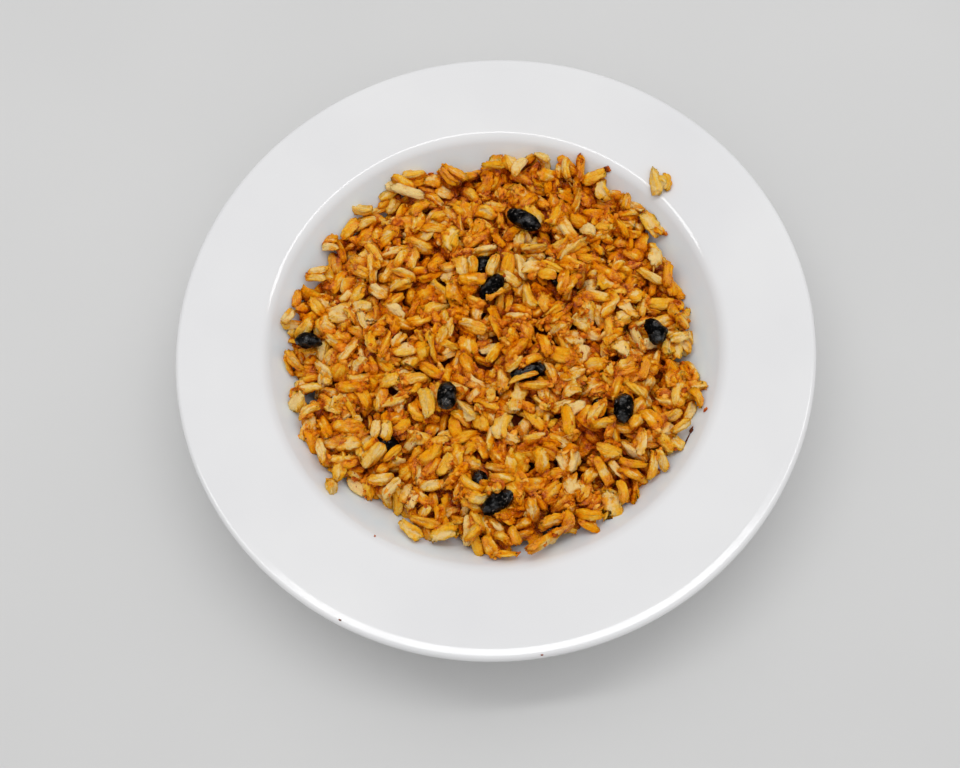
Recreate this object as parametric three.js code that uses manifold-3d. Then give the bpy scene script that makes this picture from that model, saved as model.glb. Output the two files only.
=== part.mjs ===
// A heap of seasoned brown rice with black beans, served in a white rim soup plate.
// Millimetres, +Z up. The origin is the centre of the foot ring, on the surface the plate stands on.
// The diner sits at -Y.

import * as THREE from "three";
import { mergeVertices } from "three/addons/utils/BufferGeometryUtils.js";
import Module from "manifold-3d";

const wasm = await Module();
wasm.setup();

// ---- Driving dimensions: the plate --------------------------------------------------------------

const PLATE_RADIUS = 115;
const PLATE_SEGMENTS = 60;
const SHELL = 4.6; // thickness of the well's wall and of the rim
const WELL_FLOOR_Z = 8;
const SWEEP_RADIUS = 26; // the floor sweeps up into the wall
const WALL_SLOPE = degrees(47);
const WALL_TOP_RADIUS = 81.15; // where the straight wall meets the rounded edge of the well
const WALL_TOP_Z = 34.35;
const WELL_EDGE_ROUND = 7.2;
const RIM_SLOPE = degrees(8);
const LIP_START = 110.9; // from here to its round edge the rim is a little flatter
const LIP_SLOPE = degrees(4.4);
const LIP_ROUND = 1.6;
const LIP_BEAD = 2; // the rounding under the outer edge
const RIM_ROOT_CHAMFER = 5; // below the rim, where it leaves the wall
const FOOT_OUTER = 55;
const FOOT_WIDTH = 4.5;
const FOOT_RECESS = 3; // the base inside the foot ring stands this far above the table
const FOOT_EDGE = 0.6;
const STEPS = { floorSweep: 4, wellEdge: 3, lip: 3, outerSweep: 3 }; // straight steps of each curve

// ---- Driving dimensions: the food ---------------------------------------------------------------

const CLEARANCE = 0.3; // between pieces that touch

const HEAP_PEAK_Z = 36.5;
// Radius where the heap meets the wall, every 30 degrees, counter-clockwise from +X.
const HEAP_RADII = [73.5, 76.9, 78, 75.8, 77.5, 76.4, 78, 78.1, 73, 78.2, 76.5, 78.1];
// The heap from its middle to its foot: share of the radius, share of the height.
const HEAP_PROFILE = [
  [0, 1],
  [0.35, 0.985],
  [0.62, 0.9],
  [0.83, 0.7],
  [0.94, 0.42],
  [0.985, 0.15],
  [1, -0.12],
];
const HEAP_RINGS = 25; // rings of lattice points from the middle to the foot, a grain's width apart

const BUMP = 1.7; // a grain of the relief stands this far above the gaps beside it
const BUMP_SPREAD = [0.7, 1.3]; // the least and the most of it
const BACK_SPREAD = [0.85, 1.15]; // how unlike the two ends of a grain's back are
const GAP_DEPTH = 0.3; // how uneven the gaps are
const LATTICE_SHAKE = 0.2; // of a step
const GRAIN = { length: 9.4, width: 3.9, thickness: 3.2 };
const STANDING_GRAINS = 46;
const STANDING_REACH = 0.97; // how far down the heap the last of them lies
const STANDING_CROWDING = 0.42; // below 0.5 there are more of them towards the foot
const STANDING_LIFT = [0.5, 1.5];
const STANDING_SIZE = [0.85, 1.15];
const STANDING_PITCH = degrees(24);
const GOLDEN_ANGLE = Math.PI * (3 - Math.sqrt(5));

const BEAN = { thickness: 6, hollow: 0.7 };
// Each bean: x, y, heading in degrees, length, width, and how far its middle lies above the rice.
const BEANS = [
  [18.1, 44.8, -38, 13.8, 6.8, 1.4],
  [3, 20.9, 40, 11.6, 7, -0.2],
  [-66.2, 10.8, -12, 10.4, 5.6, 0.6],
  [58, -5.4, -60, 10.4, 7.4, 1],
  [-18.7, -19.2, 79, 10.8, 7.2, 1],
  [42.2, -33, 74, 11, 7.4, 1.6],
  [-6.9, -59.2, 25, 12.6, 6.8, 1.2],
  [10.8, -13.8, 4, 13, 6.6, -1.2],
  [0, 30, 15, 10.6, 6.4, -2.5],
  [28.7, 22.4, 60, 10.2, 6.4, -2.4],
  [-38.3, 6.5, -50, 10.2, 6.6, -2],
  [-44.2, -31.5, -12, 11, 6.4, -2.4],
  [-12.6, -51.6, 72, 10.6, 6.4, -2.2],
  [12, -71.2, 20, 10.4, 6.2, -1.2],
  [33.8, -32.4, 84, 10.2, 6.4, -2.6],
];

// Grains stuck together lie on the rim, over the edge of the well: x, y, heading, length, width.
const STRAY_GRAINS = [
  [69.9, 52.4, -90, 11.4, 3.9],
  [74.3, 50, -84, 6.6, 3.5],
  [72.2, 51.4, 10, 6.4, 3],
];

// ---- Small helpers ------------------------------------------------------------------------------

function degrees(value) {
  return (value * Math.PI) / 180;
}

// A repeatable source of random numbers between two values.
function seeded(seed) {
  let state = seed;
  return (low = 0, high = 1) => {
    state = (state * 1664525 + 1013904223) % 4294967296;
    return low + ((high - low) * state) / 4294967296;
  };
}

// Points of an arc around (x, y), from one angle to another.
function arc(x, y, radiusX, radiusY, from, to, steps) {
  return Array.from({ length: steps + 1 }, (_, i) => {
    const angle = from + ((to - from) * i) / steps;
    return new THREE.Vector2(x + radiusX * Math.cos(angle), y + radiusY * Math.sin(angle));
  });
}

// A closed geometry as a solid that can be joined and cut.
function solidOf(geometry) {
  const bare = geometry.clone();
  bare.deleteAttribute("normal");
  bare.deleteAttribute("uv");
  const merged = mergeVertices(bare, 1e-4);
  const mesh = new wasm.Mesh({
    numProp: 3,
    vertProperties: new Float32Array(merged.attributes.position.array),
    triVerts: new Uint32Array(merged.index.array),
  });
  return new wasm.Manifold(mesh);
}

function geometryOf(solid) {
  const mesh = solid.getMesh();
  return new THREE.BufferGeometry()
    .setAttribute("position", new THREE.BufferAttribute(new Float32Array(mesh.vertProperties), 3))
    .setIndex(new THREE.BufferAttribute(new Uint32Array(mesh.triVerts), 1));
}

function join(solids) {
  return wasm.Manifold.union(solids);
}

// The largest connected piece of a solid: what a cut leaves loose is dropped.
function mainPiece(solid) {
  return solid.decompose().reduce((a, b) => (b.volume() > a.volume() ? b : a));
}

// Moves every vertex of a geometry by a rule.
function reshape(geometry, rule) {
  const position = geometry.attributes.position;
  const point = new THREE.Vector3();
  for (let i = 0; i < position.count; i += 1) {
    point.fromBufferAttribute(position, i);
    rule(point);
    position.setXYZ(i, point.x, point.y, point.z);
  }
  return geometry;
}

// Turns a piece that lies along X so that it lies on a surface with this normal, and moves it there.
function layOn(geometry, place, normal, heading, pitch = 0) {
  const along = new THREE.Vector3(Math.cos(heading), Math.sin(heading), 0);
  along.addScaledVector(normal, -along.dot(normal)).normalize();
  const across = new THREE.Vector3().crossVectors(normal, along);
  const turn = new THREE.Matrix4().makeBasis(along, across, normal).setPosition(place);
  return geometry.rotateY(-pitch).applyMatrix4(turn);
}

// ---- The plate ----------------------------------------------------------------------------------

const QUARTER = Math.PI / 2;
const sweepTopZ = WELL_FLOOR_Z + SWEEP_RADIUS * (1 - Math.cos(WALL_SLOPE));
const sweepTopRadius = WALL_TOP_RADIUS - (WALL_TOP_Z - sweepTopZ) / Math.tan(WALL_SLOPE);
const sweep = { x: sweepTopRadius - SWEEP_RADIUS * Math.sin(WALL_SLOPE), z: WELL_FLOOR_Z + SWEEP_RADIUS };
const edge = {
  x: WALL_TOP_RADIUS + WELL_EDGE_ROUND * Math.sin(WALL_SLOPE),
  z: WALL_TOP_Z - WELL_EDGE_ROUND * Math.cos(WALL_SLOPE),
};
const rimStart = {
  x: edge.x - WELL_EDGE_ROUND * Math.sin(RIM_SLOPE),
  z: edge.z + WELL_EDGE_ROUND * Math.cos(RIM_SLOPE),
};
const lipX = PLATE_RADIUS - LIP_ROUND;
const lipStartZ = rimStart.z + (LIP_START - rimStart.x) * Math.tan(RIM_SLOPE);
const lipBand = lipX - LIP_ROUND * Math.sin(LIP_SLOPE) - LIP_START;
const lipZ = lipStartZ + lipBand * Math.tan(LIP_SLOPE) - LIP_ROUND * Math.cos(LIP_SLOPE);

// The upper face from the middle of the well to the outer edge, raised by a clearance.
function upperProfile(raise = 0) {
  const sweepRadius = SWEEP_RADIUS - raise;
  const edgeRadius = WELL_EDGE_ROUND + raise;
  return [
    new THREE.Vector2(0, WELL_FLOOR_Z + raise),
    ...arc(sweep.x, sweep.z, sweepRadius, sweepRadius, -QUARTER, WALL_SLOPE - QUARTER, STEPS.floorSweep),
    ...arc(edge.x, edge.z, edgeRadius, edgeRadius, QUARTER + WALL_SLOPE, QUARTER + RIM_SLOPE, STEPS.wellEdge),
    new THREE.Vector2(LIP_START, lipStartZ + raise),
    ...arc(lipX, lipZ + raise, LIP_ROUND, LIP_ROUND, QUARTER + LIP_SLOPE, 0, STEPS.lip),
  ];
}

// The underside from the outer edge back to the middle.
function lowerProfile() {
  const outerSweep = SWEEP_RADIUS + SHELL;
  const wallBack = {
    x: WALL_TOP_RADIUS + SHELL * Math.sin(WALL_SLOPE),
    z: WALL_TOP_Z - SHELL * Math.cos(WALL_SLOPE),
  };
  const footInner = FOOT_OUTER - FOOT_WIDTH;
  const footRoot = Math.asin((FOOT_OUTER - sweep.x) / outerSweep) - QUARTER;
  return [
    ...arc(PLATE_RADIUS - LIP_BEAD, lipZ, LIP_BEAD, LIP_BEAD, -QUARTER / 2, -QUARTER, 1),
    new THREE.Vector2(wallBack.x + RIM_ROOT_CHAMFER, wallBack.z + RIM_ROOT_CHAMFER * Math.tan(RIM_SLOPE)),
    new THREE.Vector2(
      wallBack.x - RIM_ROOT_CHAMFER * Math.cos(WALL_SLOPE),
      wallBack.z - RIM_ROOT_CHAMFER * Math.sin(WALL_SLOPE),
    ),
    ...arc(sweep.x, sweep.z, outerSweep, outerSweep, WALL_SLOPE - QUARTER, footRoot, STEPS.outerSweep),
    new THREE.Vector2(FOOT_OUTER, FOOT_EDGE),
    new THREE.Vector2(FOOT_OUTER - FOOT_EDGE, 0),
    new THREE.Vector2(footInner + FOOT_EDGE, 0),
    new THREE.Vector2(footInner, FOOT_RECESS),
    new THREE.Vector2(0, FOOT_RECESS),
  ];
}

function turned(profile, segments) {
  return new THREE.LatheGeometry([...profile].reverse(), segments).rotateX(QUARTER);
}

// The space that the plate fills, grown by a clearance, and all that is below and beside it.
function plateSpace() {
  const beyond = PLATE_RADIUS + 10;
  const below = -20;
  const profile = [
    ...upperProfile(CLEARANCE),
    new THREE.Vector2(beyond, lipZ),
    new THREE.Vector2(beyond, below),
    new THREE.Vector2(0, below),
  ];
  return solidOf(turned(profile, PLATE_SEGMENTS / 2));
}

// Height of the plate's upper face at a radius.
function plateHeight(radius) {
  const profile = upperProfile();
  const next = profile.findIndex((point) => point.x > radius);
  if (next < 0) return lipZ;
  const [a, b] = [profile[next - 1], profile[next]];
  return a.y + ((b.y - a.y) * (radius - a.x)) / (b.x - a.x);
}

// ---- The heap of rice ---------------------------------------------------------------------------

// The heap's profile as a curve in millimetres for a typical radius and rise, so that its steps are even.
const TYPICAL_RADIUS = 75;
const TYPICAL_RISE = 13;
const heapProfile = new THREE.SplineCurve(
  HEAP_PROFILE.map(([share, rise]) => new THREE.Vector2(share * TYPICAL_RADIUS, rise * TYPICAL_RISE)),
);
heapProfile.arcLengthDivisions = 400;

// Radius of the heap in a direction, smooth between the listed radii.
function heapRadius(angle) {
  const count = HEAP_RADII.length;
  const turn = (angle / (2 * Math.PI) + 1) * count;
  const low = Math.floor(turn);
  const share = (1 - Math.cos(Math.PI * (turn - low))) / 2;
  return HEAP_RADII[low % count] * (1 - share) + HEAP_RADII[(low + 1) % count] * share;
}

// Broad lumps and hollows of the served rice.
function lumps(x, y) {
  return (
    0.9 * Math.sin(x / 9.5 + 0.6) * Math.sin(y / 8.2 + 1.1) +
    0.7 * Math.sin((x + y) / 7.1 + 2) +
    0.5 * Math.sin((x - 1.4 * y) / 8.3 + 0.4)
  );
}

// A point of the heap's surface, a share of the way down from its top, in a direction.
function heapPoint(share, angle) {
  const along = heapProfile.getPointAt(Math.min(share, 1));
  const rise = along.y / TYPICAL_RISE;
  const radius = heapRadius(angle);
  const footZ = plateHeight(radius);
  const x = (radius * along.x * Math.cos(angle)) / TYPICAL_RADIUS;
  const y = (radius * along.x * Math.sin(angle)) / TYPICAL_RADIUS;
  const lift = lumps(x, y) * Math.min(1, 1.5 * Math.max(rise, 0));
  return new THREE.Vector3(x, y, footZ + (HEAP_PEAK_Z - footZ) * rise + lift);
}

// The heap's outward direction at a point of its surface.
function heapNormal(share, angle) {
  const step = 0.03;
  const near = Math.max(share, 2 * step);
  const outward = heapPoint(near + step, angle).sub(heapPoint(near - step, angle));
  const around = heapPoint(near, angle + step).sub(heapPoint(near, angle - step));
  return outward.cross(around).normalize();
}

// The heap's surface is a lattice of rings, the nth with 6n points, in six like sectors.
function latticeIndex(ring, place) {
  return ring === 0 ? 0 : 1 + 3 * ring * (ring - 1) + (place % (6 * ring));
}

function latticeTriangles() {
  const triangles = [];
  for (let ring = 1; ring <= HEAP_RINGS; ring += 1) {
    for (let sector = 0; sector < 6; sector += 1) {
      for (let i = 0; i < ring; i += 1) {
        const inner = latticeIndex(ring - 1, sector * (ring - 1) + i);
        const outer = latticeIndex(ring, sector * ring + i);
        const outerNext = latticeIndex(ring, sector * ring + i + 1);
        triangles.push([inner, outer, outerNext]);
        if (i < ring - 1) {
          triangles.push([inner, outerNext, latticeIndex(ring - 1, sector * (ring - 1) + i + 1)]);
        }
      }
    }
  }
  return triangles;
}

// Pairs of neighbouring lattice points, no pair beside another: each pair is the back of one grain.
function grainBacks(triangles, random) {
  const neighbours = [];
  triangles.forEach((corners) => {
    corners.forEach((corner) => {
      neighbours[corner] ??= new Set();
      corners.filter((other) => other !== corner).forEach((other) => neighbours[corner].add(other));
    });
  });
  const order = neighbours.map((_, index) => ({ index, key: random() })).sort((a, b) => a.key - b.key);
  const taken = new Set();
  const backs = new Map();
  order.forEach(({ index }) => {
    const free = [...neighbours[index]].filter((other) => !taken.has(other));
    if (taken.has(index) || free.length === 0) return;
    const mate = free[Math.floor(random(0, free.length))];
    const height = BUMP * random(...BUMP_SPREAD);
    [index, mate].forEach((point) => {
      backs.set(point, height * random(...BACK_SPREAD));
      [point, ...neighbours[point]].forEach((near) => taken.add(near));
    });
  });
  return backs;
}

// The body of the heap: its upper face in grain-sized relief, closed below the plate's surface.
function heapBody() {
  const random = seeded(11);
  const triangles = latticeTriangles();
  const backs = grainBacks(triangles, random);
  const positions = [];
  for (let ring = 0; ring <= HEAP_RINGS; ring += 1) {
    const count = Math.max(1, 6 * ring);
    const shake = ring > 0 && ring < HEAP_RINGS ? LATTICE_SHAKE : 0;
    for (let place = 0; place < count; place += 1) {
      const share = (ring + random(-shake, shake)) / HEAP_RINGS;
      const angle = (2 * Math.PI * (place + random(-shake, shake))) / count;
      const height = (backs.get(latticeIndex(ring, place)) ?? random(-GAP_DEPTH, GAP_DEPTH)) - BUMP / 2;
      positions.push(...heapPoint(share, angle).addScaledVector(heapNormal(share, angle), height));
    }
  }
  const bottom = positions.length / 3;
  positions.push(0, 0, 0);
  for (let place = 0; place < 6 * HEAP_RINGS; place += 1) {
    triangles.push([bottom, latticeIndex(HEAP_RINGS, place + 1), latticeIndex(HEAP_RINGS, place)]);
  }
  const body = new THREE.BufferGeometry();
  body.setAttribute("position", new THREE.BufferAttribute(new Float32Array(positions), 3));
  body.setIndex(triangles.flat());
  return solidOf(body);
}

// A grain of cooked rice along X, with few sides and one end slimmer.
function grainGeometry(length, width, thickness) {
  const ball = new THREE.SphereGeometry(1, 5, 4).rotateZ(QUARTER);
  const flatSides = 1.12; // makes up for the few sides
  const taper = 0.1;
  return reshape(ball, (p) => {
    const fullness = flatSides - taper * p.x;
    p.set((p.x * length) / 2, (p.y * fullness * width) / 2, (p.z * fullness * thickness) / 2);
  });
}

// Whole grains that stand out of the relief, spread evenly, more of them towards the heap's edge.
function standingGrains(beanPlaces) {
  const random = seeded(5);
  const grains = [];
  for (let i = 0; i < STANDING_GRAINS; i += 1) {
    const share = STANDING_REACH * Math.pow((i + 1) / STANDING_GRAINS, STANDING_CROWDING);
    const angle = i * GOLDEN_ANGLE;
    const normal = heapNormal(share, angle);
    const place = heapPoint(share, angle).addScaledVector(normal, random(...STANDING_LIFT));
    const size = random(...STANDING_SIZE);
    const heading = random(0, Math.PI);
    const pitch = random(-STANDING_PITCH, STANDING_PITCH);
    const besideBean = beanPlaces.some((bean) => bean.distanceTo(place) < BEAN.thickness + GRAIN.width / 2);
    if (!besideBean) {
      const grain = grainGeometry(GRAIN.length * size, GRAIN.width * size, GRAIN.thickness);
      grains.push(solidOf(layOn(grain, place, normal, heading, pitch)));
    }
  }
  return grains;
}

// ---- Beans and stray grains ---------------------------------------------------------------------

// A bean along X with one side hollowed, grown by a clearance where it shapes its own nest.
function beanGeometry(length, width, grow = 0) {
  const ball = new THREE.SphereGeometry(1, 8, 6).rotateZ(QUARTER);
  return reshape(ball, (p) => {
    const bend = BEAN.hollow * (0.5 - p.x * p.x);
    p.set(
      p.x * (length / 2 + grow),
      p.y * (width / 2 + grow) + bend,
      p.z * (BEAN.thickness / 2 + grow),
    );
  });
}

const SEAT_STEP = 0.005; // how finely the heap's profile is searched for a bean's place
const LAST_SEAT = 0.99;

// Where a bean's middle lies, and which way is up for it.
function beanSeat([x, y, , , , lift]) {
  const angle = Math.atan2(y, x);
  const reach = (TYPICAL_RADIUS * Math.hypot(x, y)) / heapRadius(angle);
  let share = 0;
  while (heapProfile.getPointAt(share).x < reach && share < LAST_SEAT) share += SEAT_STEP;
  const normal = heapNormal(share, angle);
  return { place: heapPoint(share, angle).addScaledVector(normal, lift), normal };
}

function strayGrains() {
  const laid = STRAY_GRAINS.map(([x, y, heading, length, width]) => {
    const inward = new THREE.Vector2(-x, -y).normalize().multiplyScalar(Math.sin(RIM_SLOPE));
    const normal = new THREE.Vector3(inward.x, inward.y, Math.cos(RIM_SLOPE));
    const place = new THREE.Vector3(x, y, plateHeight(Math.hypot(x, y)) + GRAIN.thickness / 2);
    return solidOf(layOn(grainGeometry(length, width, GRAIN.thickness), place, normal, degrees(heading)));
  });
  return mainPiece(join(laid).subtract(plateSpace()));
}

// ---- The dish -----------------------------------------------------------------------------------

const porcelain = new THREE.MeshStandardMaterial({ color: 0xe9e9e8, roughness: 0.12, metalness: 0 });
const rice = new THREE.MeshStandardMaterial({ color: 0xd0913f, roughness: 0.45, metalness: 0 });
const beanSkin = new THREE.MeshStandardMaterial({ color: 0x17171a, roughness: 0.35, metalness: 0 });

const dish = new THREE.Group();

function addPiece(name, geometry, material) {
  const mesh = new THREE.Mesh(geometry, material);
  mesh.name = name;
  dish.add(mesh);
}

addPiece("plate", turned([...upperProfile(), ...lowerProfile()], PLATE_SEGMENTS), porcelain);

const seats = BEANS.map(beanSeat);
const laidBean = ([, , heading, length, width], i, grow = 0) =>
  layOn(beanGeometry(length, width, grow), seats[i].place, seats[i].normal, degrees(heading));
const nests = BEANS.map((bean, i) => solidOf(laidBean(bean, i, CLEARANCE)));
const grains = standingGrains(seats.map((seat) => seat.place));
const heap = join([heapBody(), ...grains]).subtract(join([plateSpace(), ...nests]));
addPiece("rice_heap", geometryOf(mainPiece(heap)), rice);

BEANS.forEach((bean, i) => {
  addPiece(`bean_${String(i + 1).padStart(2, "0")}`, laidBean(bean, i), beanSkin);
});

addPiece("rim_grains", geometryOf(strayGrains()), rice);

export default dish;
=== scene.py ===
"""A rim soup plate heaped with seasoned brown rice and black beans: its looks, round the solid model.

Sizes are in millimetres until a mesh is made; MM turns them into metres.
The diner sits at -Y, and the plate stands on z = 0.
"""

from itertools import product
from math import atan2, cos, exp, hypot, pi, radians, sin, tan

import bmesh
import bpy
import numpy as np
from mathutils import Matrix, Vector, noise


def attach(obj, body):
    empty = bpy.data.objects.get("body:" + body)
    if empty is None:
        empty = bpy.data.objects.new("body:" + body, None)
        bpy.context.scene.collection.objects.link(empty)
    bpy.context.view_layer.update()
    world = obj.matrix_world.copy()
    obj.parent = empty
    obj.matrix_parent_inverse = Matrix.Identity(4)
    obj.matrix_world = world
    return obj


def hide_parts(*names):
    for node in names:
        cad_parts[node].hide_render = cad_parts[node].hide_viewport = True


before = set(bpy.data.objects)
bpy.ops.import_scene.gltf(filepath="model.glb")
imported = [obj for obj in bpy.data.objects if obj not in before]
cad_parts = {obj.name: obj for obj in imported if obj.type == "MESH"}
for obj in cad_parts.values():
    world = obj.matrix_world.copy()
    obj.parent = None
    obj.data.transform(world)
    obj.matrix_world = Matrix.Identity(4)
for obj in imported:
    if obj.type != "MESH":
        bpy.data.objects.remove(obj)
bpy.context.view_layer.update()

MM = 0.001
BODY = "root"

# ---- The plate's sizes ----

PLATE_RADIUS = 115.0
PLATE_STEPS = 192
SHELL = 4.6
WELL_FLOOR_Z = 8.0
SWEEP_RADIUS = 26.0
WALL_SLOPE = radians(47)
WALL_TOP = (81.15, 34.35)
WELL_EDGE_ROUND = 7.2
RIM_SLOPE = radians(8)
LIP_START = 110.9  # from here to its round edge the rim is a little flatter
LIP_SLOPE = radians(4.4)
LIP_ROUND = 1.6  # of the outer edge
LIP_BEAD = 2.0  # under the outer edge
RIM_ROOT_CHAMFER = 5.0
FOOT_OUTER = 55.0
FOOT_WIDTH = 4.5
FOOT_RECESS = 3.0
FOOT_EDGE = 0.6
PAINTED_COOL_CAST_Z = (30.0 * MM, 36.2 * MM)  # the painted cool cast in the well fades out between these heights

# ---- The food's sizes ----

HEAP_PEAK_Z = 36.5
HEAP_FLATNESS, HEAP_SHOULDER = 4.6, 0.65  # exponents of its profile: a flat top and a steep, round edge
HEAP_RADII = [73.5, 76.9, 78, 75.8, 77.5, 76.4, 78, 78.1, 73, 78.2, 76.5, 78.1]  # every 30 degrees from +X
CLUMPS = [(9, 2.0, 0.0), (5, 1.2, 3.3)]  # how wide and how high clumps are, and their place in the noise
CLUMP_REACH = 78.0  # radius near which they fade
SHELL_OF_GRAINS = 8.5  # depth of the loose grains over the core
CORE_INSET = 5.5  # of the outline that shapes the core's top
CORE_CLEARANCE = 0.15  # over the plate
CORE_SHARE = 0.82  # of the heap's radii: nearer the edge the loose grains lie on the plate

GRAIN_SEED, PIT_SEED, RIM_SEED = 11, 5, 3
GRAIN_COUNT = 1900
GRAIN_LENGTH, LENGTH_LIMITS = (10.2, 1.3), (6.8, 13.4)  # the mean and the spread, least and most
GRAIN_WIDTH, WIDTH_LIMITS = (4.1, 0.45), (3.1, 5.1)
FLATNESS = (0.66, 0.9)  # a grain's thickness over its width
SHORT_SHARE = 0.08
SHORT_LENGTHS = (3.6, 6.0)
BROKEN_LENGTH = 5.8  # a shorter grain shows its broken end
KIND_SHARES = [0.54, 0.33, 0.13]  # whole, split along the top, burst open
BEAN_SURROUND = 9.0  # nearer than this to a bean's middle no grain is burst open
SEED_WAY = (1, 0.37, 0.61)  # the way along which each shape has its own place in the noise

SIDE_BY_SIDE = 1.1  # how strongly grains stuck together point one way, against their own random ways
LYING = 0.55  # how much of its slant a grain loses

SETTLE_STEPS = 110
WEIGHT, FIRST_WEIGHT = 0.01, 0.05  # how far a grain sinks at each step, and how much more at first
PRESS = 0.2  # share of what stands too proud that is pressed down at each step
MOST_LIFT = 2.5  # out of the bed, at one step
CALM = 0.8  # share of each move that is made
TOUCH_GAIN, FEW_TOUCHES = 1.35, 1.6  # a ball with many touches moves by a little more than their mean
STICKING = 0.84  # soft grains press into each other: they keep this share of their radii apart
END_BALLS = 0.84  # of the radius of a grain's middle ball
PROUD = (0.6, 2.2)  # how far a grain may stand over the heap's surface
BALL_CELL = 4.4  # of the grid in which balls look for each other
GRAIN_CELL = 11.0  # of the grid in which whole grains do
TOUCH_REACH = 1.6  # over which the touch of another grain fades
FULL_SHADE_DEPTH = 5.0  # below the grains round it, where a point gets its darkest painted shade

# What fills the hollows: name, how many, how finely round, radius from and to, flatness, tones.
BETWEEN = [
    ("rice_pulp", 1300, 2, 0.6, 1.5, 0.8, (0.35, 0.75)),
    ("paste_crumbs", 4200, 1, 0.16, 0.5, 1.0, (0.5, 0.9)),
    ("bran_flakes", 500, 1, 0.9, 2.3, 0.14, (0.3, 0.8)),
    ("paste_lumps", 34, 3, 1.4, 2.6, 0.8, (0.4, 0.7)),
]

# Radius of the loose grains' ragged outline, every 10 degrees from +X.
OUTLINE_RADII = [
    72.0, 72.1, 74.1, 75.8, 78.7, 78.4, 81.2, 78.8, 76.3, 74.2, 76.5, 77.9, 74.2, 73.9, 73.9, 73.9, 78.5,
    76.7, 72.4, 74.9, 75.4, 78.6, 73.4, 68.4, 73.5, 72.8, 76.6, 77.8, 72.1, 74.8, 75.6, 74.0, 77.5, 75.9,
    76.0, 71.3,
]
OUTLINE_MARGIN = 2.2  # from the outline to where the grains' round tops end
MAP_REACH, ABOVE_HEAP_Z = 84.0, 44.0  # a box that holds every loose grain
MAP_CELL = 1.6  # of the map that tells how deep a point lies

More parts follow.
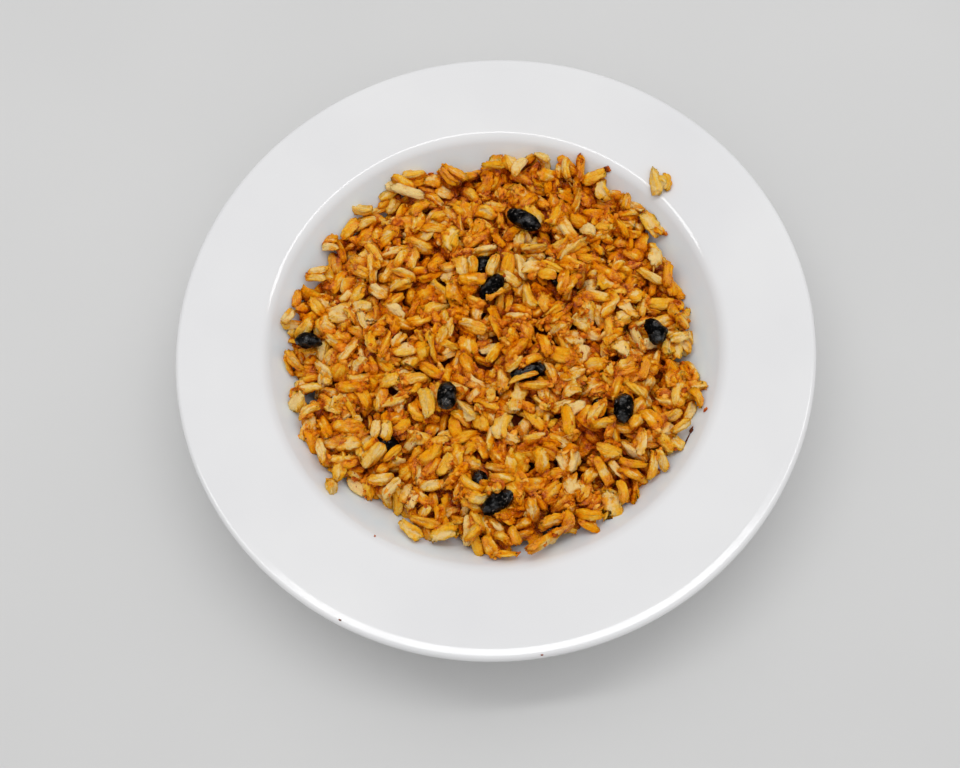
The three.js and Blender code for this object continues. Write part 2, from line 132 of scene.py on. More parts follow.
# Grains that lie across the sunken beans, or stick out at the edge: x, y, heading in degrees, length,
# width, and how far the middle lies above the heap's mean surface.
LAID_GRAINS = [
    (12.1, -10.4, 20, 9.0, 3.6, 1.6), (8.9, -15.9, 10, 11.0, 3.2, 1.3), (13.0, -19.5, -7, 11.1, 3.6, 0.7),
    (-3.0, 29.9, 85, 7.5, 3.7, 1.3), (4.4, 28.7, 58, 9.2, 3.7, 1.6), (-3.8, 24.6, -7, 10.6, 4.0, 1.2),
    (3.7, 18.0, 18, 7.8, 3.7, 0.9), (33.6, 24.2, -36, 9.4, 3.7, 1.5), (23.6, 21.9, -18, 7.1, 4.4, 1.0),
    (30.9, 16.1, 47, 9.3, 3.1, 1.4), (28.7, 17.5, 65, 10.3, 3.1, 1.8), (-40.3, 11.9, 21, 9.0, 3.6, 1.6),
    (-34.6, 11.4, -86, 8.1, 4.0, 1.3), (-43.3, 5.2, -76, 8.4, 4.7, 1.0), (-34.2, 5.1, 54, 7.3, 4.4, 0.8),
    (-46.0, -26.6, -109, 7.8, 3.6, 1.6), (-42.1, -27.7, -100, 7.3, 3.9, 1.9),
    (-48.5, -32.0, 19, 6.7, 3.6, 0.4), (-7.6, -54.2, 6, 7.0, 2.8, 1.0), (-4.2, -51.7, -11, 8.5, 3.5, 1.2),
    (-16.2, -54.3, -13, 5.6, 3.9, 0.8), (6.7, -75.5, 29, 15.5, 4.4, 5.0), (34.3, -31.9, 61, 7.6, 3.5, 1.0),
    (36.2, -38.8, 66, 7.0, 3.2, 0.9), (-41.7, 62.6, -33, 11.7, 4.2, 1.4),
    (-55.2, 48.7, -28, 7.5, 3.2, 1.0), (-54.4, 51.3, -10, 8.3, 3.2, 1.4),
    (-61.4, 36.9, -20, 8.0, 3.2, 1.2), (-60.8, 39.5, -2, 8.8, 3.2, 1.6),
    (-24.3, 69.2, -47, 10.4, 3.1, 1.2), (-23.1, 64.4, -30, 14.1, 3.8, 1.6),
    (-6.9, 68.9, -62, 10.4, 3.5, 1.6), (-4.5, 70.7, -44, 11.4, 3.5, 2.0), (10.3, 70.6, -17, 9.0, 3.1, 1.2),
    (20.1, 67.7, 46, 9.1, 3.4, 1.4), (29.4, 70.1, -43, 6.9, 3.5, 1.8), (37.3, 64.2, -97, 9.1, 3.4, 1.2),
    (49.7, 53.4, -85, 8.6, 4.2, 1.4), (57.4, 47.1, -116, 7.1, 2.7, 1.2), (63.8, 23.8, -93, 7.9, 3.4, 1.2),
    (67.4, 16.7, -104, 10.5, 3.4, 1.2), (69.4, -2.1, -54, 6.8, 3.3, 1.4), (67.4, -8.0, 12, 8.4, 3.3, 1.2),
    (68.8, -32.3, -74, 8.2, 3.3, 1.4), (61.1, -41.9, 29, 9.2, 3.2, 1.2), (48.7, -54.1, 72, 10.0, 2.9, 1.2),
    (52.4, -53.2, 105, 8.8, 3.2, 1.4), (40.6, -56.0, -32, 9.3, 3.8, 1.4),
    (41.8, -53.0, -14, 10.3, 3.8, 1.8), (36.1, -54.1, -60, 8.4, 2.8, 0.8),
    (36.5, -62.0, -87, 8.2, 3.5, 1.2), (22.8, -71.3, -33, 9.0, 3.8, 1.2),
    (24.0, -68.5, -15, 10.0, 3.8, 1.6), (18.0, -72.4, -24, 5.4, 2.1, 1.0),
    (-17.1, -69.1, 34, 7.3, 4.5, 1.4), (-11.7, -74.4, -66, 8.5, 3.8, 1.4),
    (-7.4, -77.6, -11, 8.9, 3.5, 1.4), (-3.2, -71.9, -81, 7.0, 3.5, 1.4),
    (-7.3, -72.0, -36, 6.2, 3.5, 2.2), (-38.4, -63.4, -45, 10.8, 3.6, 1.2),
    (-27.4, -66.9, 6, 10.2, 4.6, 1.4), (-43.2, -47.9, 38, 9.2, 3.2, 1.4),
    (-64.3, -44.2, -87, 7.2, 3.9, 1.2), (-66.2, -31.0, -88, 8.7, 2.9, 1.2),
    (-68.4, -6.7, -3, 9.3, 3.3, 1.4), (-69.2, -15.7, 25, 9.0, 3.6, 1.4), (-75.2, 4.5, -77, 8.4, 3.1, 1.2),
    (-72.8, 5.5, -59, 9.2, 3.1, 1.6), (-72.8, 21.2, 35, 6.2, 3.3, 1.2), (10.9, -69.2, 9, 10.0, 4.2, 5.9),
    (15.5, -70.5, 59, 8.6, 3.8, 6.0), (13.1, -72.6, 15, 8.8, 3.4, 7.9), (31.9, -33.7, 53, 9.6, 3.9, 2.0),
    (33.4, -37.5, 3, 8.6, 3.7, 2.2),
]
# Where the plate shows between the grains at the edge: x, y.
GAPS = [(50.1, -43.2), (16.2, -63.9), (1.1, -73.2), (-69.7, -5.6), (64.9, 35.1)]
GAP_RADIUS = 2.0
VIEW_LIFTS = (2.2, 4.4, 6.6)  # of the balls that keep grains off a clear bean
PIT_COUNT = 25  # where the heap opens into a deep dark pit
PIT_REACH = 62.0  # from the middle
PIT_RADII = (1.1, 2.6)
PIT_SPACING = 8.0
PIT_BEAN_GAP = 9.0

# The grains on the rim, stuck together side by side: x, y, heading in degrees, length, width.
RIM_GRAINS = [
    (69.5, 52.3, -92, 11.2, 3.9),
    (73.5, 51.4, -94, 6.8, 3.2),
    (71.4, 51.9, -14, 5.4, 3.6),
]
RIM_TINTS = [[0.3, 0.1, 0.2, 0.0], [0.45, 0.3, 0.4, 0.0], [0.35, 0.3, 0.5, 0.0]]  # tone, sauce, touch, depth; touch and depth bring painted shade

# Crumbs, specks and a bit of stalk on the plate: x, y, heading in degrees, length, width, height, tone.
STRAY_BITS = [
    (52.8, 62.1, 20, 2.9, 2.3, 1.5, 0.8),
    (62.4, -46.7, 54, 9.2, 0.6, 0.5, 0.97),
    (64.9, -43.3, 46, 2.6, 1.2, 0.9, 0.93),
    (71.0, -37.1, 10, 1.9, 1.4, 0.9, 0.72),
    (-13.7, 74.6, 30, 2.6, 1.5, 0.8, 0.82),
    (-50.8, -64.7, 80, 0.9, 0.6, 0.4, 1.0),
    (-0.1, -114.1, 0, 0.9, 0.5, 0.3, 1.0),
    (-65.3, -92.6, -30, 1.0, 0.5, 0.3, 1.0),
]


# ---- Colours and shader nodes ----


def linear(colour):
    """An sRGB hex colour as linear RGBA."""
    channels = [int(colour[i : i + 2], 16) / 255 for i in (1, 3, 5)]
    return (*[c / 12.92 if c <= 0.04045 else ((c + 0.055) / 1.055) ** 2.4 for c in channels], 1.0)


def material(name):
    """A new empty node material."""
    made = bpy.data.materials.new(name)
    made.use_nodes = True
    made.node_tree.nodes.clear()
    return made


def add(made, kind, inputs=(), output=0, stops=None, **settings):
    """Adds a node, sets it, fills or links its inputs, and returns one of its outputs.

    The inputs are given by name or in order. A map range takes its value, the range that the value comes
    from, and then the range that it goes to.
    """
    node = made.node_tree.nodes.new("ShaderNode" + kind)
    for name, value in settings.items():
        setattr(node, name, value)
    if stops:
        ramp = node.color_ramp.elements
        while len(ramp) < len(stops):
            ramp.new(0.5)
        for element, (place, colour) in zip(ramp, stops):
            element.position = place
            element.color = linear(colour)
    for name, value in inputs.items() if isinstance(inputs, dict) else enumerate(inputs):
        if isinstance(value, bpy.types.NodeSocket):
            made.node_tree.links.new(value, node.inputs[name])
        else:
            node.inputs[name].default_value = value
    return node.outputs[output] if len(node.outputs) else None


def waves(millimetres):
    """The scale of a noise whose waves are this long."""
    return 1 / (millimetres * MM)


def weighted(made, total, *parts):
    """Adds to a total some values, each times its weight."""
    for value, weight in parts:
        total = add(made, "Math", (value, weight, total), operation="MULTIPLY_ADD")
    return total


# ---- Vectors and noise over arrays ----


def unit(rows):
    """Vectors, each made one long."""
    return rows / np.linalg.norm(rows, axis=-1, keepdims=True)


def soft_noise(at):
    """Smooth random values from -1 to 1 at rows of places, the same for the same place."""
    cell = np.floor(at).astype(np.int64)
    part = at - cell
    part = part * part * (3 - 2 * part)
    total = np.zeros(at.shape[:-1])
    for corner in range(8):
        step = np.array([corner & 1, corner >> 1 & 1, corner >> 2 & 1])
        key = ((cell + step) * np.array([73856093, 19349663, 83492791])).sum(-1)
        key = (key ^ (key >> 15)) * 2246822519
        key ^= key >> 13
        value = (key & 0xFFFF) / 32767.5 - 1
        total += value * np.where(step == 1, part, 1 - part).prod(-1)
    return total


def shaken(at):
    """Three soft values at each place, to move it by."""
    return np.stack([soft_noise(at + shift) for shift in (0.0, 57.3, 131.9)], -1)


# ---- Meshes ----


def rows_of(data, key, width):
    """One value of every entry of a mesh's data, as rows."""
    values = np.zeros(len(data) * width)
    data.foreach_get(key, values)
    return values.reshape(-1, width)


def finish_piece(bm, name, surface, slot=None, replaces=()):
    """Turns a bmesh in millimetres into a piece at the origin, which rides on the part's body unless it has
    no slot.
    """
    bmesh.ops.scale(bm, vec=(MM, MM, MM), verts=bm.verts)
    mesh = bpy.data.meshes.new(name)
    bm.to_mesh(mesh)
    bm.free()
    mesh.shade_smooth()
    place_piece(mesh, name, surface, slot, replaces)


def place_piece(mesh, name, surface, slot=None, replaces=()):
    """Adds a mesh as a piece of the part, or with no slot as a piece of the stage."""
    mesh.materials.append(surface)
    piece = bpy.data.objects.new(name, mesh)
    bpy.context.scene.collection.objects.link(piece)
    if slot is None:
        return piece
    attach(piece, BODY)
    if replaces:
        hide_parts(*replaces)
    return piece


# ---- The plate ----


def arc(centre, radius, start, end, steps):
    """Points of an arc in the plate's section, angles in radians."""
    angles = np.linspace(start, end, steps + 1)
    return [(centre[0] + radius * cos(a), centre[1] + radius * sin(a)) for a in angles]


QUARTER = pi / 2
SWEEP_TOP_Z = WELL_FLOOR_Z + SWEEP_RADIUS * (1 - cos(WALL_SLOPE))
SWEEP_TOP_R = WALL_TOP[0] - (WALL_TOP[1] - SWEEP_TOP_Z) / tan(WALL_SLOPE)
SWEEP_CENTRE = (SWEEP_TOP_R - SWEEP_RADIUS * sin(WALL_SLOPE), WELL_FLOOR_Z + SWEEP_RADIUS)
EDGE_CENTRE = (
    WALL_TOP[0] + WELL_EDGE_ROUND * sin(WALL_SLOPE),
    WALL_TOP[1] - WELL_EDGE_ROUND * cos(WALL_SLOPE),
)
RIM_START_R = EDGE_CENTRE[0] - WELL_EDGE_ROUND * sin(RIM_SLOPE)
RIM_START_Z = EDGE_CENTRE[1] + WELL_EDGE_ROUND * cos(RIM_SLOPE)


def lip_section():
    """The lip, from where the rim flattens to its outermost point."""
    z = RIM_START_Z + (LIP_START - RIM_START_R) * tan(RIM_SLOPE)
    edge_r = PLATE_RADIUS - LIP_ROUND
    band = edge_r - LIP_ROUND * sin(LIP_SLOPE) - LIP_START
    edge_z = z + band * tan(LIP_SLOPE) - LIP_ROUND * cos(LIP_SLOPE)
    steps = [(LIP_START + band * t, z + band * t * tan(LIP_SLOPE)) for t in (0, 0.12, 0.5, 0.94)]
    return steps + arc((edge_r, edge_z), LIP_ROUND, QUARTER + LIP_SLOPE, 0, 9)


LIP = lip_section()
LIP_Z = LIP[-1][1]


def upper_section():
    """The plate's upper face, from the middle of the well to the outer edge."""
    return [
        *[(r, WELL_FLOOR_Z) for r in (0, 12, 26, 40)],
        *arc(SWEEP_CENTRE, SWEEP_RADIUS, -QUARTER, WALL_SLOPE - QUARTER, 16),
        *arc(EDGE_CENTRE, WELL_EDGE_ROUND, QUARTER + WALL_SLOPE, QUARTER + RIM_SLOPE, 10),
        *[(r, RIM_START_Z + (r - RIM_START_R) * tan(RIM_SLOPE)) for r in (90, 97, 104)],
        *LIP,
    ]


def lower_section():
    """The plate's underside, from the outer edge back to the middle, with its foot ring."""
    outer = SWEEP_RADIUS + SHELL
    bend = (WALL_TOP[0] + SHELL * sin(WALL_SLOPE), WALL_TOP[1] - SHELL * cos(WALL_SLOPE))
    rim_side = (bend[0] + RIM_ROOT_CHAMFER, bend[1] + RIM_ROOT_CHAMFER * tan(RIM_SLOPE))
    wall_side = (bend[0] - RIM_ROOT_CHAMFER * cos(WALL_SLOPE), bend[1] - RIM_ROOT_CHAMFER * sin(WALL_SLOPE))
    round_root = list(zip(rim_side, bend, wall_side))
    inner = FOOT_OUTER - FOOT_WIDTH
    return [
        *arc((PLATE_RADIUS - LIP_BEAD, LIP_Z), LIP_BEAD, 0, RIM_SLOPE - QUARTER, 8)[1:],
        *[
            tuple(a * (1 - t) ** 2 + 2 * b * t * (1 - t) + c * t * t for a, b, c in round_root)
            for t in np.linspace(0, 1, 6)
        ],
        *arc(SWEEP_CENTRE, outer, WALL_SLOPE - QUARTER, -QUARTER * 0.92, 10),
        (FOOT_OUTER, FOOT_EDGE),
        (FOOT_OUTER - FOOT_EDGE, 0),
        (inner + FOOT_EDGE, 0),
        (inner, FOOT_RECESS),
        (0, FOOT_RECESS),
    ]


UPPER = np.array(upper_section())


def plate_height(radius):
    """Height of the plate's upper face at a radius."""
    return np.interp(radius, UPPER[:, 0], UPPER[:, 1])


def turned_plate():
    """The plate's section, turned once round."""
    bm = bmesh.new()
    verts = [bm.verts.new((r, 0, z)) for r, z in upper_section() + lower_section()]
    edges = [bm.edges.new(pair) for pair in zip(verts, verts[1:])]
    bmesh.ops.spin(
        bm, geom=verts + edges, cent=(0, 0, 0), axis=(0, 0, 1), dvec=(0, 0, 0),
        angle=2 * pi, steps=PLATE_STEPS, use_merge=True, use_duplicate=False,
    )
    bmesh.ops.remove_doubles(bm, verts=bm.verts, dist=0.001)
    bmesh.ops.recalc_face_normals(bm, faces=bm.faces)
    return bm


def glazed_porcelain():
    """Porcelain, jiggered and glazed: a smooth white under clear glass, with a painted cool cast in the
    well against the warm light the rice throws on it, and wiped smudges."""
    made = material("glazed_porcelain")
    place = add(made, "TexCoord", output=3)
    tone = add(made, "TexNoise", {"Vector": place, "Scale": waves(55.56), "Detail": 3})
    glaze = add(made, "ValToRGB", {"Fac": tone}, stops=[(0.3, "#E3E3E4"), (0.7, "#E9E9E9")])
    height = add(made, "SeparateXYZ", {"Vector": place}, output=2)
    rise = add(made, "MapRange", (height, *PAINTED_COOL_CAST_Z))
    facing = add(made, "SeparateXYZ", {"Vector": place.node.outputs["Normal"]}, output=2)
    below = add(made, "Math", (facing, 0.3), operation="LESS_THAN")  # the underside has the plain glaze, without the painted cool cast
    plain = add(made, "Math", (rise, below), operation="MAXIMUM")
    # Painted cool cast: bluer low in the well, against the warm light from the rice
    colour = add(made, "Mix", {0: plain, 6: linear("#E0EBF0"), 7: glaze}, output=2, data_type="RGBA")
    smudge = add(made, "TexNoise", {"Vector": place, "Scale": waves(18.18), "Detail": 5, "Distortion": 0.6})
    gloss = add(made, "MapRange", (smudge, 0.45, 0.75, 0.07, 0.13))
    ripple = add(made, "TexNoise", {"Vector": place, "Scale": waves(16.67), "Detail": 2})
    bump = add(made, "Bump", {"Height": ripple, "Strength": 0.12, "Distance": 0.0004})
    shader = add(
        made, "BsdfPrincipled", {"Base Color": colour, "Roughness": gloss, "IOR": 1.5, "Normal": bump},
    )
    add(made, "OutputMaterial", {"Surface": shader})
    return made


# ---- The heap's form ----


def blended(radii, angle):
    """A radius in a direction, smooth between evenly spaced ones."""
    count = len(radii)
    turn = np.mod(angle / (2 * pi), 1) * count
    low = np.floor(turn).astype(int) % count
    share = (1 - np.cos(pi * (turn - np.floor(turn)))) / 2
    radii = np.array(radii)
    return radii[low] * (1 - share) + radii[(low + 1) % count] * share


def lumps(x, y):
    """Broad lumps and hollows of the served rice: three crossing waves, each under 1 mm high."""
    return (
        0.9 * np.sin(x / 9.5 + 0.6) * np.sin(y / 8.2 + 1.1)
        + 0.7 * np.sin((x + y) / 7.1 + 2)
        + 0.5 * np.sin((x - 1.4 * y) / 8.3 + 0.4)
    )


def heap_height(x, y, radii=HEAP_RADII, wider=0.0):
    """Height of a heap with this outline, which may be drawn out or in: a flat top and a steep edge."""
    radius = blended(radii, np.arctan2(y, x)) + wider
    foot = plate_height(radius)
    share = np.hypot(x, y) / radius
    outside = -1.2 * (share - 1) * 10
    rise = np.where(share < 1, (1 - np.minimum(share, 1) ** HEAP_FLATNESS) ** HEAP_SHOULDER, outside)
    return foot + (HEAP_PEAK_Z - foot) * rise + lumps(x, y) * np.clip(1.5 * rise, 0, 1)


def smooth_top(x, y):
    """Mean height of the loose grains' surface."""
    return heap_height(x, y, OUTLINE_RADII, OUTLINE_MARGIN)


def grains_top(x, y):
    """Height of the loose grains' surface, with the clumps and hollows a spoon leaves."""
    clumps = 0.0
    for across, high, shift in CLUMPS:
        clumps = clumps + soft_noise(np.stack([x / across, y / across, np.zeros_like(x) + shift], -1)) * high
    share = np.hypot(x, y) / CLUMP_REACH
    return smooth_top(x, y) + clumps * np.clip(2.6 - 2.4 * share, 0.3, 1)


def surface_normal(height, x, y):
    """Unit normals of a height field."""
    step = 0.8
    slope_x = (height(x + step, y) - height(x - step, y)) / (2 * step)
    slope_y = (height(x, y + step) - height(x, y - step)) / (2 * step)
    return unit(np.stack([-slope_x, -slope_y, np.ones_like(x)], -1))


def core_height(x, y):
    """Height of the mass of rice that the loose grains lie on."""
    return heap_height(x, y, HEAP_RADII, -CORE_INSET) - SHELL_OF_GRAINS


def bed_height(x, y):
    """What the loose grains rest on: the core, or the plate round it."""
    return np.maximum(core_height(x, y), plate_height(np.hypot(x, y)))


# ---- Beans ----


def bean_seat(node):
    """Centre, axes and half sizes in millimetres of a bean of the solid model."""
    points = rows_of(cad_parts[node].data.vertices, "co", 3)
    points = np.unique(points.round(6), axis=0) / MM
    middle = points.mean(0)
    _, axes = np.linalg.eigh(np.cov((points - middle).T))
    along, across = axes[:, 2], axes[:, 1]
    up = np.cross(along, across)
    if up[2] < 0:
        up, across = -up, -across
    turn = np.stack([along, across, up], 1)
    local = (points - middle) @ turn
    low, high = local.min(0), local.max(0)
    return middle + turn @ ((low + high) / 2), turn, (high - low) / 2


BEAN_NODES = sorted(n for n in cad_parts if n.startswith("bean_"))
SEATS = {n: bean_seat(n) for n in BEAN_NODES}
CLEAR_BEANS = ["bean_01", "bean_02", "bean_04", "bean_05", "bean_06", "bean_07"]
CRUMPLED_BEANS = {"bean_03": (0.2, 0.1), "bean_04": (0.24, 0.35)}  # how far the skin caves in, and taper


# ---- Camera ----

CAMERA_DISTANCE = 516.37
CAMERA_ELEVATION = radians(70.85)
CAMERA_ROLL = radians(8.67)
CAMERA_SLIDE = (-6.87, -2.97)
CAMERA_BACK = np.array([0, -cos(CAMERA_ELEVATION), sin(CAMERA_ELEVATION)])


def add_camera():
    """A 50 mm lens that looks down steeply from the diner's side, a little rolled."""
    right = Vector((1, 0, 0))
    up = Vector((0, sin(CAMERA_ELEVATION), cos(CAMERA_ELEVATION)))
    back = Vector(CAMERA_BACK)
    data = bpy.data.cameras.new("camera")
    data.lens, data.sensor_width = 50, 36
    data.clip_start, data.clip_end = 0.01, 20
    camera = bpy.data.objects.new("camera", data)
    across = right * cos(CAMERA_ROLL) - up * sin(CAMERA_ROLL)
    upright = right * sin(CAMERA_ROLL) + up * cos(CAMERA_ROLL)
    turn = Matrix((across, upright, back)).transposed().to_4x4()
    place = (back * CAMERA_DISTANCE + right * CAMERA_SLIDE[0] + up * CAMERA_SLIDE[1]) * MM
    camera.matrix_world = Matrix.Translation(place) @ turn
    bpy.context.scene.collection.objects.link(camera)
    bpy.context.scene.camera = camera


# ---- Settling the grains ----


def close_pairs(points, cell):
    """Pairs of points that lie in the same or in neighbouring cells of a grid."""
    cells = np.floor(points / cell).astype(np.int64)
    cells -= cells.min(0) - 1
    size = cells.max(0) + 2
    key = (cells[:, 0] * size[1] + cells[:, 1]) * size[2] + cells[:, 2]
    order = np.argsort(key, kind="stable")
    key = key[order]
    rows = np.arange(len(points))
    found_a, found_b = [], []
    for dx, dy, dz in product((-1, 0, 1), repeat=3):
        shift = (dx * size[1] + dy) * size[2] + dz
        if shift < 0:
            continue
        first = np.searchsorted(key, key + shift, "left") if shift else rows + 1
        count = np.maximum(np.searchsorted(key, key + shift, "right") - first, 0)
        a = np.repeat(rows, count)
        start = np.repeat(first - np.concatenate([[0], np.cumsum(count)[:-1]]), count)
        found_a.append(order[a])
        found_b.append(order[start + np.arange(len(a))])
    return np.concatenate(found_a), np.concatenate(found_b)


def pushes(balls, ball, loose, pair_a, pair_b):
    """How far overlapping balls push each other: half the overlap each, or all of it off one that stays."""
    gap = balls[pair_a] - balls[pair_b]
    reach = np.linalg.norm(gap, axis=1) + 1e-9
    deep = ball[pair_a] + ball[pair_b] - reach
    hit = deep > 0
    a, b = pair_a[hit], pair_b[hit]
    push = gap[hit] / reach[hit, None] * deep[hit, None]
    push_a = push * np.where(loose[b], 0.5, 1.0)[:, None]
    push_b = push * np.where(loose[a], 0.5, 1.0)[:, None]
    size = len(balls)
    move = [np.bincount(a, push_a[:, i], size) - np.bincount(b, push_b[:, i], size) for i in range(3)]
    hits = np.bincount(a, minlength=size) + np.bincount(b, minlength=size)
    return np.stack(move, 1) * (TOUCH_GAIN / np.maximum(hits, FEW_TOUCHES))[:, None]


def settle(ends, half, radius, blocks, laid, random):
    """Lets the grains come to rest against each other, the bed and the beans.

    Each grain is three balls on a line. ends holds the places of its two end balls, and blocks the
    balls that don't move, as rows of x, y, z, radius. The first grains, as many as laid says, keep
    their places.
    """
    count = len(ends)
    home = ends[:laid].copy()
    owner = np.concatenate([np.tile(np.arange(count), 3), np.full(len(blocks), -1)])
    share = np.concatenate([np.repeat([0.0, 0.5, 1.0], count), np.zeros(len(blocks))])
    ball = np.concatenate([radius * END_BALLS, radius, radius * END_BALLS, blocks[:, 3]])
    loose = owner >= 0
    proud = random.uniform(*PROUD, count)
    for step in range(SETTLE_STEPS):
        middle = ends.mean(1)
        normal = surface_normal(grains_top, middle[:, 0], middle[:, 1])
        fade = 1 - step / SETTLE_STEPS
        ends -= (normal * (WEIGHT + FIRST_WEIGHT * fade))[:, None]
        over = middle[:, 2] + radius - grains_top(middle[:, 0], middle[:, 1]) - proud
        ends -= (normal * (np.clip(over, 0, 3) * PRESS * normal[:, 2])[:, None])[:, None]
        balls = np.concatenate([ends[:, 0], middle, ends[:, 1], blocks[:, :3]])
        if step % 3 == 0:
            pair_a, pair_b = close_pairs(balls, BALL_CELL)
            keep = owner[pair_a] != owner[pair_b]
            pair_a, pair_b = pair_a[keep], pair_b[keep]
        move = pushes(balls, ball, loose, pair_a, pair_b)
        bed = bed_height(balls[:, 0], balls[:, 1])
        bed_normal = surface_normal(bed_height, balls[:, 0], balls[:, 1])
        sunk = np.clip((bed - balls[:, 2]) * bed_normal[:, 2] + ball, 0, MOST_LIFT)
        move += bed_normal * sunk[:, None]
        for side, weight in ((0, 1 - share), (1, share)):
            turn = move[loose] * weight[loose, None]
            for i in range(3):
                ends[:, side, i] += np.bincount(owner[loose], turn[:, i], count) * CALM
        middle = ends.mean(1, keepdims=True)
        axis = ends[:, 1] - ends[:, 0]
        upright = (axis * normal).sum(1, keepdims=True)
        axis -= normal * upright * np.where(np.abs(upright) > half[:, None], 0.03, 0.003)  # steep ones tip
        reach = (unit(axis) * half[:, None])[:, None]
        ends = np.concatenate([middle - reach, middle + reach], 1)
        ends[:laid] = home
    return ends


def deep_pits():
    """Places and radii of the pits between clumps, spread over the heap and clear of the beans."""
    random = np.random.default_rng(PIT_SEED)
    beans = np.array([SEATS[node][0][:2] for node in BEAN_NODES])
    rows = []
    while len(rows) < PIT_COUNT:
        x, y = random.uniform(-PIT_REACH, PIT_REACH, 2)
        near = [hypot(x - row[0], y - row[1]) < PIT_SPACING for row in rows]
        clear = np.hypot(beans[:, 0] - x, beans[:, 1] - y).min() > PIT_BEAN_GAP
        if hypot(x, y) < PIT_REACH and clear and not any(near):
            rows.append((x, y, random.uniform(*PIT_RADII)))
    return rows


def view_blocks():
    """Balls for the beans, and over the clear ones, the gaps and the pits, so that no grain settles there."""
    rows = []
    for node in BEAN_NODES:
        centre, turn, half = SEATS[node]
        reach = half[0] - half[2]
        for along in (-reach, 0, reach):
            at = centre + turn[:, 0] * along
            rows.append([*at, half[2] * 0.98])
            if node in CLEAR_BEANS:
                rows += [[*(at + CAMERA_BACK * lift), half[2] * 0.9] for lift in VIEW_LIFTS]
    for x, y in GAPS:
        foot = np.array([x, y, float(plate_height(hypot(x, y)))])
        rows += [[*(foot + CAMERA_BACK * lift), GAP_RADIUS] for lift in range(0, 22, 3)]
    for x, y, radius in deep_pits():
        top = np.array([x, y, float(smooth_top(np.array(x), np.array(y)))])
        rows += [[*(top + CAMERA_BACK * lift), radius] for lift in range(-7, 6, 2)]
    return np.array(rows)


def laid_grains():
    """The grains of LAID_GRAINS: middles, axes, lengths, widths."""
    x, y, heading, length, width, rise = np.array(LAID_GRAINS).T
    turn = np.radians(heading)
    normal = surface_normal(smooth_top, x, y)
    normal /= np.maximum(normal[:, 2:], 0.5)
    fall = -(normal[:, 0] * np.cos(turn) + normal[:, 1] * np.sin(turn))
    axis = unit(np.stack([np.cos(turn), np.sin(turn), fall], 1))
    floor = plate_height(np.hypot(x, y)) + width * 0.45
    return np.stack([x, y, np.maximum(smooth_top(x, y) + rise, floor)], 1), axis, length, width


def scattered_grains(random):
    """Random grains in the shell between the bed and the heap's top: middles, axes, lengths, widths."""
    spots, tries = [], 4000
    while len(spots) < GRAIN_COUNT:
        x, y = random.uniform(-MAP_REACH, MAP_REACH, (2, tries))
        z = random.uniform(WELL_FLOOR_Z, ABOVE_HEAP_Z, tries)
        inside = (z > bed_height(x, y) + 1.2) & (z < grains_top(x, y) + 0.6)
        spots.extend(np.stack([x, y, z], 1)[inside])
    spots = np.array(spots[:GRAIN_COUNT])
    length = np.clip(random.normal(*GRAIN_LENGTH, GRAIN_COUNT), *LENGTH_LIMITS)
    short = random.random(GRAIN_COUNT) < SHORT_SHARE
    length[short] = random.uniform(*SHORT_LENGTHS, short.sum())
    width = np.clip(random.normal(*GRAIN_WIDTH, GRAIN_COUNT), *WIDTH_LIMITS)
    normal = surface_normal(grains_top, spots[:, 0], spots[:, 1])
    axis = random.normal(size=(GRAIN_COUNT, 3))
    lean = soft_noise(spots / 10) * 2 * pi  # grains stuck together lie side by side
    axis[:, :2] += np.stack([np.cos(lean), np.sin(lean)], -1) * SIDE_BY_SIDE
    axis -= normal * (axis * normal).sum(1, keepdims=True) * LYING
    return spots, unit(axis), length, width


# ---- Grain shapes ----


class Form:
    """A base shape as arrays: points, the corners of its faces, where each face starts, and its map."""

    def __init__(self, bm):
        bmesh.ops.recalc_face_normals(bm, faces=bm.faces)
        bm.verts.ensure_lookup_table()
        self.points = np.array([v.co for v in bm.verts])
        self.corners = np.array([v.index for f in bm.faces for v in f.verts])
        sizes = np.array([len(f.verts) for f in bm.faces])
        self.starts = np.concatenate([[0], np.cumsum(sizes)[:-1]])
        uvs = []
        for face in bm.faces:
            around = [atan2(v.co.z, v.co.y) / (2 * pi) for v in face.verts]
            pole = [abs(v.co.y) + abs(v.co.z) < 1e-3 for v in face.verts]
            known = [u for u, p in zip(around, pole) if not p] or [0]
            if max(known) - min(known) > 0.5:
                around = [u + 1 if u < 0 else u for u in around]
                known = [u + 1 if u < 0 else u for u in known]
            mean = sum(known) / len(known)
            uvs += [(mean if p else u, v.co.x / 2 + 0.5) for u, p, v in zip(around, pole, face.verts)]
        self.map = np.array(uvs)
        bm.free()


def ball_form(around, along):
    """A ball with its poles on X, to be made into a grain."""
    bm = bmesh.new()
    bmesh.ops.create_uvsphere(bm, u_segments=around, v_segments=along, radius=1)
    bmesh.ops.rotate(bm, cent=(0, 0, 0), matrix=Matrix.Rotation(QUARTER, 3, "Y"), verts=bm.verts)
    return Form(bm)


def lump_form(subdivisions):
    """A ball of even triangles, to be made into a lump."""
    bm = bmesh.new()
    bmesh.ops.create_icosphere(bm, subdivisions=subdivisions, radius=1)
    return Form(bm)


